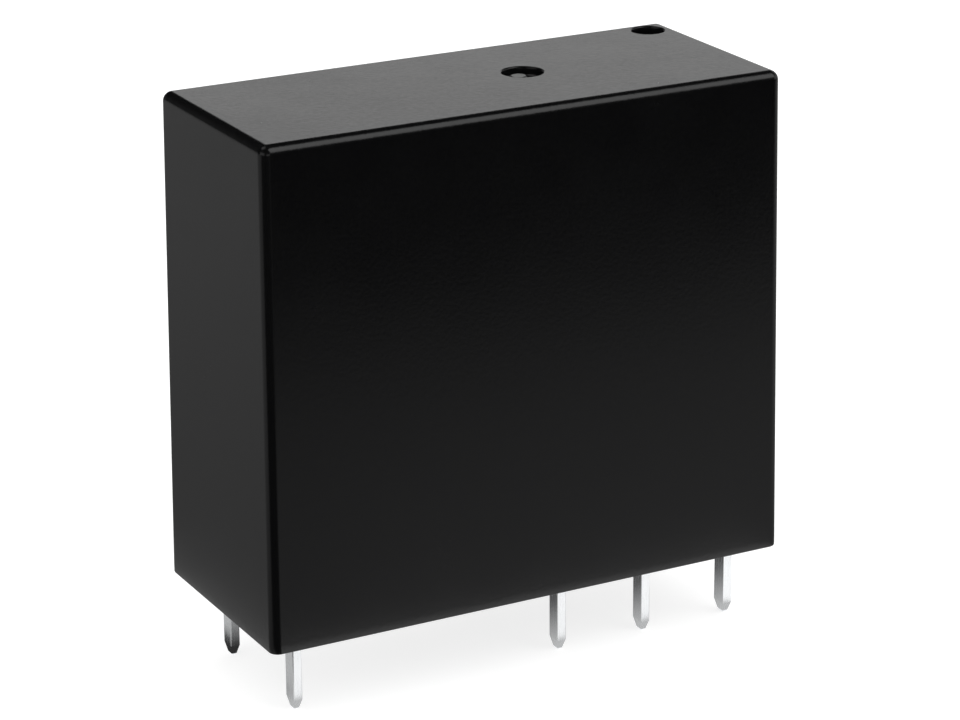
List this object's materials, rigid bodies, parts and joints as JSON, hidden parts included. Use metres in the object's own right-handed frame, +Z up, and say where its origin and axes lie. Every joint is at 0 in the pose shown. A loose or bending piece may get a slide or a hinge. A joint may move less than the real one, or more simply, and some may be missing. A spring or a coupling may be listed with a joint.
{
  "type": "pcb power relay",
  "caption": "Black boxed two-pole changeover power relay for a circuit board, with flat pins below and coil, armature, card and contact springs inside.",
  "frame": {"origin": "middle of the board face, on the middle pad of the base, under the centre of the cover", "axes": "+X along the cover towards the contact end, +Y across it towards the back, +Z up away from the board; the pins go down along -Z"},
  "size_m": [0.029, 0.0124, 0.0297],
  "materials": {
    "cover_plastic": "black moulded polyester, satin",
    "base_plastic": "black moulded polyester, matte",
    "sealing_resin": "cast dark epoxy resin",
    "bobbin_plastic": "natural moulded polyester",
    "card_plastic": "natural moulded polyester",
    "enamelled_copper": "enamelled copper wire",
    "soft_iron": "nickel-plated soft iron",
    "tinned_brass": "tin-plated brass strip",
    "spring_bronze": "phosphor bronze leaf",
    "silver_alloy": "silver alloy contact rivet"
  },
  "bodies": {
    "frame": {"cover": "cover_plastic", "base": "base_plastic", "sealing_resin": "sealing_resin", "bobbin": "bobbin_plastic", "coil_winding": "enamelled_copper", "core": "soft_iron", "yoke": "soft_iron", "hinge_spring": "spring_bronze", "coil_terminal_front": "tinned_brass", "coil_terminal_back": "tinned_brass", "coil_lead_front": "enamelled_copper", "coil_lead_back": "enamelled_copper", "nc_terminal_front": "tinned_brass", "nc_terminal_back": "tinned_brass", "nc_contact_front": "silver_alloy", "nc_contact_back": "silver_alloy", "common_terminal_front": "tinned_brass", "common_terminal_back": "tinned_brass", "spring_rivet_front": "tinned_brass", "spring_rivet_back": "tinned_brass", "no_terminal_front": "tinned_brass", "no_terminal_back": "tinned_brass", "no_contact_front": "silver_alloy", "no_contact_back": "silver_alloy"},
    "armature": {"armature": "soft_iron"},
    "card": {"card": "card_plastic"},
    "front_spring": {"moving_spring_front": "spring_bronze", "moving_contact_front": "silver_alloy"},
    "back_spring": {"moving_spring_back": "spring_bronze", "moving_contact_back": "silver_alloy"}
  },
  "joints": [
    {"name": "armature_pivot", "type": "hinge", "parent": "frame", "child": "armature", "pos_m": [-0.0004, 0, 0.0213], "axis": [0, -1, 0], "range_deg": [0, 6], "stiffness_Nm_per_rad": 0.004, "springref_deg": -17.19},
    {"name": "card_slide", "type": "slide", "parent": "frame", "child": "card", "axis": [1, 0, 0], "range_m": [0, 0.0006]},
    {"name": "front_spring_flex", "type": "hinge", "parent": "frame", "child": "front_spring", "pos_m": [0.00805, -0.00375, 0.0072], "axis": [0, 1, 0], "range_deg": [0, 4.08], "deforming": ["moving_spring_front"]},
    {"name": "back_spring_flex", "type": "hinge", "parent": "frame", "child": "back_spring", "pos_m": [0.00805, 0.00375, 0.0072], "axis": [0, 1, 0], "range_deg": [0, 4.08], "deforming": ["moving_spring_back"]}
  ],
  "couplings": [
    {"joint": "card_slide", "follows": "armature_pivot", "m_per_rad": 0.0057},
    {"joint": "front_spring_flex", "follows": "armature_pivot", "ratio": 0.67857},
    {"joint": "back_spring_flex", "follows": "armature_pivot", "ratio": 0.67857}
  ]
}
